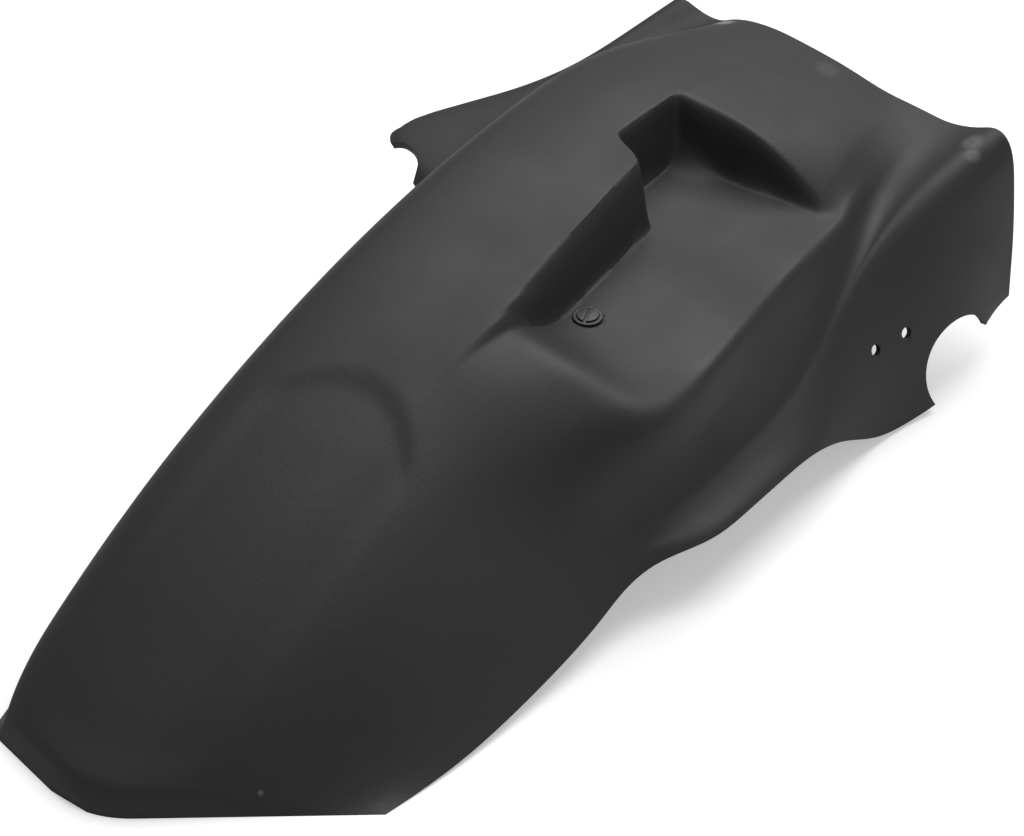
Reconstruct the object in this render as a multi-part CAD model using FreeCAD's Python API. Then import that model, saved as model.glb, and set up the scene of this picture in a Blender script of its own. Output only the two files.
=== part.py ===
"""Mudguard extender: a one-piece moulded rear shell with the plastic rivet in its pocket."""
import FreeCAD, Part
import math
import os

# Sizes in millimetres: X runs forward from the tail, R to the right, Z up from the floor.
WALL = 3.0

# The arch that the top of the shell follows from the tail to the front edge.
ARCH_RADIUS = 640.0
ARCH_PEAK_X = 362.0
ARCH_PEAK_Z = 121.0
FRONT_X = 502.0

# Places along the shell: behind the tail's lip, on its haunch and where the right skirt ends.
LOW_X = 60.0
HAUNCH_X = 120.0
SKIRT_END_X = 205.0
STEP_LENGTH = 35.0
CORNER_LENGTH = 25.0

# The left side: half the body's width, its shoulder and the skirt that leans out to the floor.
HALF_WIDTH = 94.0
SHOULDER_DROP = 8.0
SKIRT_LEAN = 9.0
SKIRT_TUCK = 10.0
HAUNCH_TUCK = 6.0
LEFT_FOOT_BACK = 192.0
TOP_R = 60.0
FRONT_SHOULDER_R = 55.0
FRONT_SHOULDER_DROP = 3.0
FRONT_TOP_R = 36.0
RIM_FRONT_DROP = 1.5
FOOT_FRONT_DROP = 4.0

# The tail: a blunt V whose point lies left of the middle, with a lip rolled down to the floor.
TAIL_POINT_R = -16.0
TAIL_POINT_X = -5.5
TAIL_LEFT_X = 9.0
TAIL_LEFT_R = -80.0
TAIL_RIGHT_X = 73.0
TAIL_RIGHT_R = 80.0
TAIL_LIP = 10.0
TAIL_LIP_ROLL = 4.0
TAIL_LIP_END = 1.0
TAIL_CORNER = 8.0

# The ridge right of the flat, and the broad slope from it to the right skirt's edge.
RIDGE_LOW_R = 13.0
RIDGE_LOW_DROP = 9.0
RIDGE_HAUNCH_R = 5.0
RIDGE_HAUNCH_DROP = 6.0
RIDGE_END_R = 2.0
RIDGE_END_DROP = 2.0
SLOPE_FULLNESS = 1.6
HAUNCH_EDGE_R = 87.0
HAUNCH_EDGE_Z = 2.0
SKIRT_END_R = 89.0
SKIRT_END_Z = 14.0

# The right shoulder beside the pocket.
UPPER_R = 47.0
UPPER_DROP = 11.0
UPPER_FRONT_R = 28.0
UPPER_FRONT_DROP = 9.0
SHOULDER_REAR_R = 85.0
SHOULDER_REAR_Z = 88.0
SHOULDER_R = 67.0
SHOULDER_Z = 91.0
SHOULDER_FRONT_R = 44.0
SHOULDER_FRONT_Z = 96.0
STEP_R = 88.0
STEP_Z = 27.0

# The flange behind the right wing, and the valley between it and the shoulder.
FLANGE_R = 105.0
FLANGE_Z = 28.0
FLANGE_BEND = 13.0
FLANGE_RISE = 5.0
VALLEY_R = 81.0
VALLEY_Z = 40.0
VALLEY_RISE = 4.0

# The right wing: a rib that grows towards the front edge, a face and a turned-out lip.
WING_BACK = 157.0
RIB_BACK = 86.0
RIB_VALLEY_R = 73.0
RIB_VALLEY_Z = 75.0
RIB_R = 80.0
RIB_Z = 78.0
RIB_MID_BACK = 44.0
RIB_MID_VALLEY_R = 64.0
RIB_MID_VALLEY_Z = 85.0
RIB_MID_R = 86.0
RIB_MID_Z = 97.0
DIP_R = 69.0
DIP_Z = 94.0
CREST_R = 97.0
CREST_Z = 108.0
FACE_R = 104.0
FACE_Z = 60.0
FACE_REAR_R = 98.0
FACE_REAR_Z = 38.0
LIP_BACK = 104.0
LIP_R = 107.0
LIP_TIP = 44.0
LIP_TIP_R = 119.0
LIP_TIP_Z = 8.0
WING_FOOT_R = 111.0
WING_FOOT_Z = 26.0
WING_FOOT_BACK = 14.0
WING_FOOT_LENGTH = 18.0

# The left wing: a flap over the chain run that ends in a small tab.
FLAP_Z = 62.0
FLAP_RISE = 38.0
FLAP_ROOT_R = 106.0
TAB_LEAD = 30.0
TAB_R = 190.0
TAB_LENGTH = 13.0
FLAP_R = 145.0
FLAP_LENGTH = 65.0
FLAP_END_R = 122.0
FLAP_BAND = 20.0
FLAP_VALLEY_R = 96.0
FLAP_VALLEY_RISE = 8.0
FLAP_CREST_IN = 8.0
FLAP_CREST_Z = 82.0
LEFT_CREST_R = 96.0
LEFT_CREST_Z = 104.0
LEFT_FRONT_R = 106.0
LEFT_FRONT_Z = 45.0

# The trim of the left wing's edge up to the tab, and the round bite behind it.
TAB_ROOT_LEAD = 5.0
TAB_ROOT_R = 150.0
TAB_SLANT = 52.0
TAB_CUT = 50.0
TRIM_LENGTH = 65.0
TRIM_TAPER = 30.0
TAB_BITE_BACK = 33.0
TAB_BITE_RADIUS = 18.5

# The pocket on top: flat floor, upright left and front walls, sloping rear, open to the right.
POCKET_FLOOR_Z = 88.0
POCKET_REAR_X = 279.0
POCKET_REAR_SKEW = 0.18
POCKET_FRONT_BACK = 89.0
POCKET_FRONT_SKEW = 0.12
POCKET_LEFT_R = -3.0
POCKET_LEFT_SLANT = 0.1
POCKET_JOG_R = -23.0
POCKET_JOG_BACK = 134.0
POCKET_JOG_LENGTH = 12.0
POCKET_WALL_SLOPE = 5.0
POCKET_REAR_SLOPE = 0.66
POCKET_RIM_BLEND = 5.0
POCKET_FOOT_BLEND = 2.0
POCKET_RIM = 9.0

# The shallow flat on the tail.
FLAT_DEPTH = 2.0
FLAT_FRONT_X = 232.0
FLAT_HALF = 45.0
FLAT_RAMP = 40.0
FLAT_EDGE = 14.0

# Round cuts: the notch in the right wing, its two bolt holes and the rivet hole.
NOTCH_BACK = 56.5
NOTCH_Z = 14.0
NOTCH_RADIUS = 23.0
BOLT_HOLE = 5.5
BOLT_BACK = 102.0
BOLT_R = 94.5
BOLT_Z = 42.0
BOLT_PITCH = 19.0
WING_YAW = 12.0
WING_TILT = 24.0
WING_CUT = 40.0

# The rivet: a flanged sleeve with a slotted screw in it.
RIVET_X = 293.5
RIVET_R = 14.5
RIVET_FLANGE = 13.4
RIVET_FLANGE_HEIGHT = 1.8
RIVET_BARREL = 8.0
RIVET_CLEARANCE = 0.1
RIVET_LENGTH = 10.0
RIVET_BORE = 4.4
SCREW_HEAD = 9.6
SCREW_HEAD_HEIGHT = 1.7
SCREW_RECESS = 1.0
SCREW_SLOT = 1.6
SCREW_SLOT_DEPTH = 0.9
SCREW_SLOT_TURN = 20.0
SEAT_DEPTH = 0.4
SEAT_MARGIN = 0.4

# How many strips lie between each guide curve and the next, from left to right.
STRIPS = (2, 2, 2, 2, 2, 3, 3, 3, 2, 2, 2, 2)

# Shares of the tail's length where the strips' edges have their first poles, around its lip.
TAIL_ROWS = (0.0, 0.015, 0.04)
SKIRT_ROWS = 5
FRONT_ROWS = 10

# The strips between these two guides cross the pocket, so their knots are close at its walls.
POCKET_GUIDES = (4, 8.5)


def pocket_front():
    """Return where the foot of the pocket's front wall lies."""
    return FRONT_X - POCKET_FRONT_BACK


def pocket_jog():
    """Return where the pocket's left wall jogs."""
    return FRONT_X - POCKET_JOG_BACK


def left_foot():
    """Return where the left skirt's foot leaves the floor."""
    return FRONT_X - LEFT_FOOT_BACK


def crown(x):
    """Return the height of the arch at x."""
    reach = x - ARCH_PEAK_X
    return ARCH_PEAK_Z - ARCH_RADIUS + math.sqrt(ARCH_RADIUS ** 2 - reach ** 2)


def soft_min(a, b, blend):
    """Return the lower of two heights with a rounded change from one to the other."""
    gap = max(blend - abs(a - b), 0.0) / blend
    return min(a, b) - gap * gap * blend / 4


def soft_max(a, b, blend):
    """Return the higher of two heights with a rounded change from one to the other."""
    return -soft_min(-a, -b, blend)


def ease(t):
    """Return a smooth step from 0 to 1 for t from 0 to 1."""
    t = min(max(t, 0.0), 1.0)
    return t * t * (3 - 2 * t)


def slopes(xs, ys):
    """Return end-to-end slopes for a curve through the points that never overshoots them."""
    steps = [(ys[i + 1] - ys[i]) / (xs[i + 1] - xs[i]) for i in range(len(xs) - 1)]
    inner = [0.0 if a * b <= 0 else 2 * a * b / (a + b) for a, b in zip(steps, steps[1:])]
    return [steps[0]] + inner + [steps[-1]]


class Guide:
    """A guide curve along the shell, given by a few stations (x, r, z) from tail to front."""

    def __init__(self, *stations):
        self.x, self.r, self.z = zip(*sorted(stations))
        self.slope_r = slopes(self.x, self.r)
        self.slope_z = slopes(self.x, self.z)

    def value(self, ys, ms, x):
        """Return the cubic through the stations at x."""
        i = 0
        while i < len(self.x) - 2 and x > self.x[i + 1]:
            i += 1
        h = self.x[i + 1] - self.x[i]
        t = (x - self.x[i]) / h
        rise = ys[i] * (1 + 2 * t) * (1 - t) ** 2 + ys[i + 1] * t * t * (3 - 2 * t)
        return rise + h * (ms[i] * t * (1 - t) ** 2 - ms[i + 1] * t * t * (1 - t))

    def height(self, x):
        """Return the guide's height at x."""
        return self.value(self.z, self.slope_z, x)

    def at(self, s):
        """Return the point (x, r, z): s runs from 0 at the tail over 1 at the step to 2 at the front."""
        step_x = SKIRT_END_X + STEP_LENGTH
        start, length = (self.x[0], step_x - self.x[0]) if s < 1 else (step_x, self.x[-1] - step_x)
        x = start + (s if s < 1 else s - 1) * length
        return x, self.value(self.r, self.slope_r, x), self.height(x)


class ArchGuide(Guide):
    """A guide curve whose stations give the drop below the arch in place of the height."""

    def height(self, x):
        """Return the guide's height at x."""
        return crown(x) - self.value(self.z, self.slope_z, x)


def tail_x(r):
    """Return where the tail's edge lies at r."""
    end_x, end_r = (TAIL_LEFT_X, TAIL_LEFT_R) if r < TAIL_POINT_R else (TAIL_RIGHT_X, TAIL_RIGHT_R)
    return TAIL_POINT_X + (end_x - TAIL_POINT_X) * (r - TAIL_POINT_R) / (end_r - TAIL_POINT_R)


def tail_lip(r):
    """Return the height of the lip along the tail's edge, which runs out at its two ends."""
    share = (r - TAIL_POINT_R) / (TAIL_RIGHT_R - TAIL_POINT_R)
    corner = min((r - TAIL_LEFT_R) / TAIL_CORNER, 1.0)
    return (TAIL_LIP_END + TAIL_LIP * (1 - ease(share))) * corner


def on_tail(share):
    """Return the R at a share of the tail's width, from its left corner to its right."""
    return TAIL_LEFT_R + share * (TAIL_RIGHT_R - TAIL_LEFT_R)


def from_tail(r, *stations):
    """Return a guide that starts with the rolled lip on the tail's edge at r."""
    x = tail_x(r)
    return Guide((x, r, 0.0), (x + TAIL_LIP_ROLL, r, tail_lip(r)), *stations)


def arch_from_tail(r, *stations):
    """Return an arch guide that starts with the rolled lip on the tail's edge at r."""
    x = tail_x(r)
    inner = x + TAIL_LIP_ROLL
    return ArchGuide((x, r, crown(x)), (inner, r, crown(inner) - tail_lip(r)), *stations)


def left_skirt(share):
    """Return the stations on the left skirt, share 0 at its foot and 1 at the shoulder."""
    stations = []
    for x, tuck in ((LOW_X, SKIRT_TUCK), (HAUNCH_X, HAUNCH_TUCK), (left_foot(), 0.0)):
        r = HALF_WIDTH + SKIRT_LEAN * (1 - share) - tuck
        stations.append((x, -r, share * (crown(x) - SHOULDER_DROP)))
    return stations


def right_slope(share):
    """Return the stations on the broad slope right of the flat, share 1 at the skirt's edge."""
    stations = []
    for x, top_r, drop, foot_r, foot_z in (
            (HAUNCH_X, RIDGE_HAUNCH_R, RIDGE_HAUNCH_DROP, HAUNCH_EDGE_R, HAUNCH_EDGE_Z),
            (SKIRT_END_X, RIDGE_END_R, RIDGE_END_DROP, SKIRT_END_R, SKIRT_END_Z)):
        fall = (crown(x) - drop - foot_z) * (1 - share ** SLOPE_FULLNESS)
        stations.append((x, top_r + share * (foot_r - top_r), foot_z + fall))
    return stations


def left_guides():
    """Return the guide curves of the left skirt and wing, from the edge to the shoulder."""
    flap_x = left_foot() + FLAP_RISE
    tab_x = flap_x + TAB_LEAD
    end_x = tab_x + FLAP_LENGTH
    edge = Guide(
        (TAIL_LEFT_X, TAIL_LEFT_R, 0.0), *left_skirt(0.0), (flap_x, -FLAP_ROOT_R, FLAP_Z),
        (tab_x, -TAB_R, FLAP_Z), (tab_x + TAB_LENGTH, -FLAP_R, FLAP_Z), (end_x, -FLAP_END_R, FLAP_Z),
        (FRONT_X, -LEFT_FRONT_R, LEFT_FRONT_Z))
    roll = from_tail(
        on_tail(0.012), *left_skirt(0.2), (flap_x, -FLAP_ROOT_R + WALL, FLAP_Z + WALL),
        (tab_x, -TAB_R + FLAP_BAND, FLAP_Z + WALL), (end_x, FLAP_CREST_IN - FLAP_END_R, FLAP_CREST_Z),
        (FRONT_X, -LEFT_CREST_R, LEFT_CREST_Z))
    valley = from_tail(
        on_tail(0.027), *left_skirt(0.55), (tab_x, -FLAP_VALLEY_R, FLAP_Z + FLAP_VALLEY_RISE),
        (end_x, -HALF_WIDTH, FLAP_CREST_Z), (FRONT_X, -DIP_R, DIP_Z))
    shoulder = arch_from_tail(
        on_tail(0.04), (LOW_X / 2, -HALF_WIDTH + SKIRT_TUCK, SHOULDER_DROP),
        (LOW_X, -HALF_WIDTH + SKIRT_TUCK, SHOULDER_DROP),
        (HAUNCH_X, -HALF_WIDTH + HAUNCH_TUCK, SHOULDER_DROP),
        (pocket_front(), -HALF_WIDTH, SHOULDER_DROP), (FRONT_X, -FRONT_SHOULDER_R, FRONT_SHOULDER_DROP))
    return [edge, roll, valley, shoulder]


def top_guides():
    """Return the guide curves of the top: its left part, the pocket's rim and foot, and its right part."""
    jog_start = pocket_jog() - POCKET_JOG_LENGTH / 2
    jog_end = pocket_jog() + POCKET_JOG_LENGTH / 2
    wall_end = pocket_front() + POCKET_RIM
    rear_r = POCKET_LEFT_R + POCKET_LEFT_SLANT * (pocket_jog() - POCKET_REAR_X)
    left = arch_from_tail(
        on_tail(0.14), (LOW_X, -TOP_R, 0.0), (pocket_front(), -TOP_R, 0.0), (FRONT_X, -FRONT_TOP_R, 0.0))
    rim = arch_from_tail(
        TAIL_POINT_R, (LOW_X, TAIL_POINT_R, 0.0), (SKIRT_END_X, TAIL_POINT_R, 0.0),
        (POCKET_REAR_X, rear_r - POCKET_RIM, 0.0), (jog_start, POCKET_LEFT_R - POCKET_RIM, 0.0),
        (jog_end, POCKET_JOG_R - POCKET_RIM, 0.0), (wall_end, POCKET_JOG_R - POCKET_RIM, 0.0),
        (FRONT_X, TAIL_POINT_R, RIM_FRONT_DROP))
    foot = arch_from_tail(
        on_tail(0.61), (LOW_X, RIDGE_LOW_R, RIDGE_LOW_DROP), (HAUNCH_X, RIDGE_HAUNCH_R, RIDGE_HAUNCH_DROP),
        (SKIRT_END_X, RIDGE_END_R, RIDGE_END_DROP), (POCKET_REAR_X, rear_r, 0.0),
        (jog_start, POCKET_LEFT_R, 0.0), (jog_end, POCKET_JOG_R, 0.0), (wall_end, POCKET_JOG_R, 0.0),
        (FRONT_X, RIDGE_HAUNCH_R, FOOT_FRONT_DROP))
    upper = arch_from_tail(
        on_tail(0.73), *((x, r, crown(x) - z) for x, r, z in right_slope(0.3)),
        (POCKET_REAR_X, UPPER_R, UPPER_DROP), (pocket_jog(), UPPER_R, UPPER_DROP),
        (FRONT_X, UPPER_FRONT_R, UPPER_FRONT_DROP))
    return [left, rim, foot, upper]


def right_guides():
    """Return the guide curves of the right shoulder, valley, flange and wing, out to the edge."""
    step_x = SKIRT_END_X + STEP_LENGTH
    corner_x = step_x + CORNER_LENGTH
    middle_x = FRONT_X - RIB_MID_BACK
    rib_x = FRONT_X - RIB_BACK
    wing_x = FRONT_X - WING_BACK
    lip_x = FRONT_X - LIP_BACK
    flange_r = FLANGE_R - FLANGE_BEND
    shoulder = from_tail(
        on_tail(0.82), *right_slope(0.55), (corner_x, SHOULDER_REAR_R, SHOULDER_REAR_Z),
        (pocket_jog(), SHOULDER_R, SHOULDER_Z), (FRONT_X, SHOULDER_FRONT_R, SHOULDER_FRONT_Z))
    valley = from_tail(
        on_tail(0.9), *right_slope(0.75), (corner_x, VALLEY_R, VALLEY_Z),
        (wing_x, VALLEY_R, VALLEY_Z + VALLEY_RISE), (rib_x, RIB_VALLEY_R, RIB_VALLEY_Z),
        (middle_x, RIB_MID_VALLEY_R, RIB_MID_VALLEY_Z), (FRONT_X, DIP_R, DIP_Z))
    crest = from_tail(
        on_tail(0.95), *right_slope(0.87), (step_x, STEP_R - 2 * WALL, STEP_Z + 2 * WALL),
        (corner_x, flange_r, FLANGE_Z + FLANGE_RISE), (wing_x, flange_r, FLANGE_Z + 2 * FLANGE_RISE),
        (rib_x, RIB_R, RIB_Z), (middle_x, RIB_MID_R, RIB_MID_Z), (FRONT_X, CREST_R, CREST_Z))
    face = from_tail(
        on_tail(0.98), *right_slope(0.95), (step_x, STEP_R - WALL, STEP_Z + WALL),
        (corner_x, FLANGE_R - WALL, FLANGE_Z + WALL),
        (wing_x, FLANGE_R - WALL, FLANGE_Z + WALL), (lip_x, FACE_REAR_R, FACE_REAR_Z),
        (middle_x, FACE_R, FACE_Z), (FRONT_X - WALL, FACE_R, FACE_Z))
    foot_x = FRONT_X - WING_FOOT_BACK
    edge = Guide(
        (TAIL_RIGHT_X, TAIL_RIGHT_R, 0.0), *right_slope(1.0), (step_x, STEP_R, STEP_Z),
        (corner_x, FLANGE_R, FLANGE_Z), (wing_x, FLANGE_R, FLANGE_Z), (lip_x, LIP_R, 0.0),
        (lip_x + LIP_TIP, LIP_TIP_R, LIP_TIP_Z),
        (foot_x - WING_FOOT_LENGTH, WING_FOOT_R, WING_FOOT_Z), (foot_x, WING_FOOT_R, WING_FOOT_Z))
    return [shoulder, valley, crest, face, edge]


def spread(a, b, count):
    """Return count even steps that end at b, the start a left out."""
    return [a + (b - a) * (i + 1) / count for i in range(count)]


def knots(fine):
    """Return the knots of a strip's edge from tail to front, close at the walls where it is fine."""
    step_x = SKIRT_END_X + STEP_LENGTH
    marks = spread(step_x, FRONT_X, FRONT_ROWS)
    if fine:
        wall = (ARCH_PEAK_Z - POCKET_FLOOR_Z) / POCKET_WALL_SLOPE
        jog = [pocket_jog() + POCKET_JOG_LENGTH * i / 2 for i in (-1.5, -0.5, 0.5, 1.5)]
        front = [pocket_front() + wall * i for i in (-0.5, 0.5, 1.5)]
        marks = spread(step_x, POCKET_REAR_X, 3) + spread(POCKET_REAR_X, jog[0], 2) + jog[1:]
        marks += front + spread(front[-1], FRONT_X, 2)
    ahead = [1 + (x - step_x) / (FRONT_X - step_x) for x in sorted(marks)]
    return list(TAIL_ROWS) + spread(TAIL_ROWS[-1], 1.0, SKIRT_ROWS) + ahead


def pocket_wall(x):
    """Return the R of the foot of the pocket's left wall at x, which jogs left towards the front."""
    jog = ease((x - pocket_jog() + POCKET_JOG_LENGTH / 2) / POCKET_JOG_LENGTH)
    rear_r = POCKET_LEFT_R + POCKET_LEFT_SLANT * (pocket_jog() - x)
    return rear_r + (POCKET_JOG_R - rear_r) * jog


def pocket_height(x, r):
    """Return the height of the pocket's floor or of the wall that rises from it."""
    left = POCKET_WALL_SLOPE * (pocket_wall(x) - r)
    front = POCKET_WALL_SLOPE * (x - pocket_front() - POCKET_FRONT_SKEW * r)
    rear = POCKET_REAR_SLOPE * (POCKET_REAR_X - POCKET_REAR_SKEW * r - x)
    rise = soft_max(soft_max(left, front, POCKET_FOOT_BLEND), rear, POCKET_FOOT_BLEND)
    return POCKET_FLOOR_Z + soft_max(rise, 0.0, POCKET_FOOT_BLEND)


def flat_depth(x, r):
    """Return how far the shallow flat on the tail lies below the arch."""
    along = ease((FLAT_FRONT_X - x) / FLAT_RAMP)
    across = ease((FLAT_HALF - abs(r - TAIL_POINT_R)) / FLAT_EDGE)
    return FLAT_DEPTH * along * across


def pressed(x, r, z):
    """Return the height of the top with the flat and the pocket pressed into it."""
    z -= flat_depth(x, r) * ease((z - TAIL_LIP) / FLAT_EDGE)
    if z > POCKET_FLOOR_Z - POCKET_RIM_BLEND:
        z = soft_min(z, pocket_height(x, r), POCKET_RIM_BLEND)
    return z


class Skin:
    """The outer skin: a smooth sheet over the guide curves, with the pocket pressed into it."""

    def __init__(self):
        self.guides = left_guides() + top_guides() + right_guides()

    def weights(self, w):
        """Return (guide, weight) pairs of a quadratic spline across the guides at w guides from the left."""
        last = len(self.guides) - 1
        if w <= 0.5 or w >= last - 0.5:
            i = 0 if w <= 0.5 else last - 1
            return [(i, 1 - (w - i)), (i + 1, w - i)]
        i = min(max(int(w + 0.5), 1), last - 1)
        t = w - i
        return [(i - 1, (0.5 - t) ** 2 / 2), (i, 0.75 - t * t), (i + 1, (0.5 + t) ** 2 / 2)]

    def point(self, s, w):
        """Return the point at s from tail to front and w guides in from the left edge."""
        w = min(max(w, 0.0), len(self.guides) - 1.0)
        s = min(max(s, 0.0), 2.0)
        parts = [(self.guides[i].at(s), share) for i, share in self.weights(w)]
        x, r, z = (sum(p[axis] * share for p, share in parts) for axis in range(3))
        return FreeCAD.Vector(x, -r, pressed(x, r, z))

    def inside(self, s, w):
        """Return the point one wall in from the skin, never below the floor."""
        along = self.point(s + 0.01, w) - self.point(s - 0.01, w)
        across = self.point(s, w + 0.2) - self.point(s, w - 0.2)
        normal = along.cross(across)
        moved = self.point(s, w) + normal * (WALL / normal.Length)
        return FreeCAD.Vector(moved.x, moved.y, max(moved.z, 0.0))

    def columns(self):
        """Return where each strip's edge lies, in guides from the left, and whether its knots are close."""
        places = [0.0]
        for i, count in enumerate(STRIPS):
            places += spread(i, i + 1, count)
        return [(w, POCKET_GUIDES[0] < w < POCKET_GUIDES[1]) for w in places]


def smooth_edge(place, w, fine):
    """Return the smooth curve along the shell at w whose poles lie where place puts them."""
    marks = knots(fine)
    padded = [marks[0]] * 3 + marks + [marks[-1]] * 3
    poles = [place(sum(padded[i + 1:i + 4]) / 3, w) for i in range(len(marks) + 2)]
    curve = Part.BSplineCurve()
    curve.buildFromPolesMultsKnots(poles, [4] + [1] * (len(marks) - 2) + [4], marks, False, 3)
    return curve.toShape()


def end_line(edges, end):
    """Return straight edges that join one end of each curve to the next curve's."""
    ends = [edge.valueAt(edge.ParameterRange[end]) for edge in edges]
    return [Part.makeLine(a, b) for a, b in zip(ends, ends[1:])]


def shell_blank():
    """Return the moulded shell before its round cuts: ruled strips outside, inside and along its rim."""
    skin = Skin()
    outer = [smooth_edge(skin.point, w, fine) for w, fine in skin.columns()]
    inner = [smooth_edge(skin.inside, w, fine) for w, fine in skin.columns()]
    pairs = list(zip(outer, outer[1:])) + list(zip(inner, inner[1:]))
    pairs += [(outer[0], inner[0]), (outer[-1], inner[-1])]
    for end in (0, 1):
        pairs += list(zip(end_line(outer, end), end_line(inner, end)))
    faces = Part.Compound([Part.makeRuledSurface(a, b) for a, b in pairs])
    faces.sewShape(0.01)
    solid = Part.Solid(faces.Shells[0])
    if solid.Volume < 0:
        solid.reverse()
    return solid


def right_to_left(x, r, z):
    """Return the point at x, r to the right and z as a vector, whose Y runs to the left."""
    return FreeCAD.Vector(x, -r, z)


def wing_cuts():
    """Return the round notch and the two bolt holes that go through the right wing."""
    inside_r = BOLT_R - WING_CUT / 2
    reach = LIP_TIP_R + WING_CUT / 2 - inside_r
    notch = Part.makeCylinder(
        NOTCH_RADIUS, reach, right_to_left(FRONT_X - NOTCH_BACK, inside_r, NOTCH_Z), right_to_left(0, 1, 0))
    yaw = math.radians(WING_YAW)
    tilt = math.radians(WING_TILT)
    level = right_to_left(-math.sin(yaw), math.cos(yaw), 0)
    normal = level * math.cos(tilt) + FreeCAD.Vector(0, 0, math.sin(tilt))
    step = right_to_left(math.cos(yaw), math.sin(yaw), 0) * BOLT_PITCH
    first = right_to_left(FRONT_X - BOLT_BACK, BOLT_R, BOLT_Z) - normal * (WING_CUT / 2)
    holes = [Part.makeCylinder(BOLT_HOLE / 2, WING_CUT, first + step * i, normal) for i in range(2)]
    return [notch] + holes


def tab_cuts():
    """Return the wedge that trims the left wing's edge up to its tab and the round bite behind the tab."""
    slant = math.radians(TAB_SLANT)
    low = FLAP_Z - TAB_CUT / 2
    root_x = left_foot() + FLAP_RISE + TAB_LEAD + TAB_ROOT_LEAD
    root = right_to_left(root_x, -TAB_ROOT_R, low)
    tip = root - right_to_left(math.cos(slant), math.sin(slant), 0) * TAB_CUT
    end = root + right_to_left(TRIM_LENGTH, TRIM_TAPER, 0)
    corner = FreeCAD.Vector(end.x, tip.y, low)
    up = FreeCAD.Vector(0, 0, TAB_CUT)
    wedge = Part.Face(Part.makePolygon([root, tip, corner, end, root])).extrude(up)
    bite = Part.makeCylinder(
        TAB_BITE_RADIUS, TAB_CUT, right_to_left(root_x - TAB_BITE_BACK, -TAB_ROOT_R, low))
    return [wedge, bite]


def rivet_seat():
    """Return the point on the pocket's floor where the rivet's flange sits."""
    return right_to_left(RIVET_X, RIVET_R, POCKET_FLOOR_Z - SEAT_DEPTH)


def rivet_cuts():
    """Return the hole for the rivet in the pocket's floor and the flat seat around it."""
    up = FreeCAD.Vector(0, 0, 1)
    flat = Part.makeCylinder(RIVET_FLANGE / 2 + SEAT_MARGIN, POCKET_RIM_BLEND, rivet_seat(), up)
    hole = Part.makeCylinder(
        RIVET_BARREL / 2 + RIVET_CLEARANCE, 4 * WALL, rivet_seat() - up * (3 * WALL), up)
    return [flat, hole]


def turned(profile):
    """Return the solid turned about the rivet's axis from (radius, height) points above its seat."""
    points = [FreeCAD.Vector(radius, 0, height) for radius, height in profile]
    face = Part.Face(Part.makePolygon(points + points[:1]))
    solid = face.revolve(FreeCAD.Vector(0, 0, 0), FreeCAD.Vector(0, 0, 1), 360)
    solid.translate(rivet_seat())
    return solid


def rivet_sleeve():
    """Return the flanged sleeve that stands on its seat and passes through the floor."""
    recess = SCREW_HEAD / 2 + RIVET_CLEARANCE
    step = RIVET_FLANGE_HEIGHT - SCREW_RECESS
    return turned([
        (RIVET_BORE / 2, -RIVET_LENGTH), (RIVET_BARREL / 2, -RIVET_LENGTH), (RIVET_BARREL / 2, 0),
        (RIVET_FLANGE / 2, 0), (RIVET_FLANGE / 2, RIVET_FLANGE_HEIGHT), (recess, RIVET_FLANGE_HEIGHT),
        (recess, step), (RIVET_BORE / 2, step)])


def rivet_screw():
    """Return the slotted screw, whose head lies in the sleeve's recess."""
    seat = RIVET_FLANGE_HEIGHT - SCREW_RECESS
    top = seat + SCREW_HEAD_HEIGHT
    shank = RIVET_BORE / 2 - RIVET_CLEARANCE
    screw = turned([
        (0, -RIVET_LENGTH), (shank, -RIVET_LENGTH), (shank, seat), (SCREW_HEAD / 2, seat),
        (SCREW_HEAD / 2, top), (0, top)])
    slot = Part.makeBox(SCREW_HEAD * 2, SCREW_SLOT, SCREW_SLOT_DEPTH * 2)
    slot.translate(FreeCAD.Vector(-SCREW_HEAD, -SCREW_SLOT / 2, -SCREW_SLOT_DEPTH))
    slot.rotate(FreeCAD.Vector(0, 0, 0), FreeCAD.Vector(0, 0, 1), SCREW_SLOT_TURN)
    slot.translate(rivet_seat() + FreeCAD.Vector(0, 0, top))
    return screw.cut(slot)


def main():
    """Build the pieces, put the origin under the middle of the shell and write a STEP file for each."""
    os.makedirs("parts", exist_ok=True)
    shell = shell_blank().cut(wing_cuts() + tab_cuts() + rivet_cuts())
    box = shell.optimalBoundingBox(False)
    origin = FreeCAD.Vector(box.Center.x, box.Center.y, box.ZMin)
    pieces = {"mudguard_shell": shell, "rivet_sleeve": rivet_sleeve(), "rivet_screw": rivet_screw()}
    for name, shape in pieces.items():
        shape.translate(-origin)
        shape.exportStep("parts/" + name + ".step")
        print(name, shape.ShapeType, len(shape.Solids), shape.isValid(), round(shape.Volume, 1))
    print("origin", origin, "size", box.XLength, box.YLength, box.ZLength)


main()
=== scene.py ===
"""Blender scene of the mudguard extender: a moulded black shell on a pale studio floor."""
from __future__ import annotations

import logging
import math
from dataclasses import dataclass, field
from enum import Enum
from typing import Any, Callable, Sequence

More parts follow.
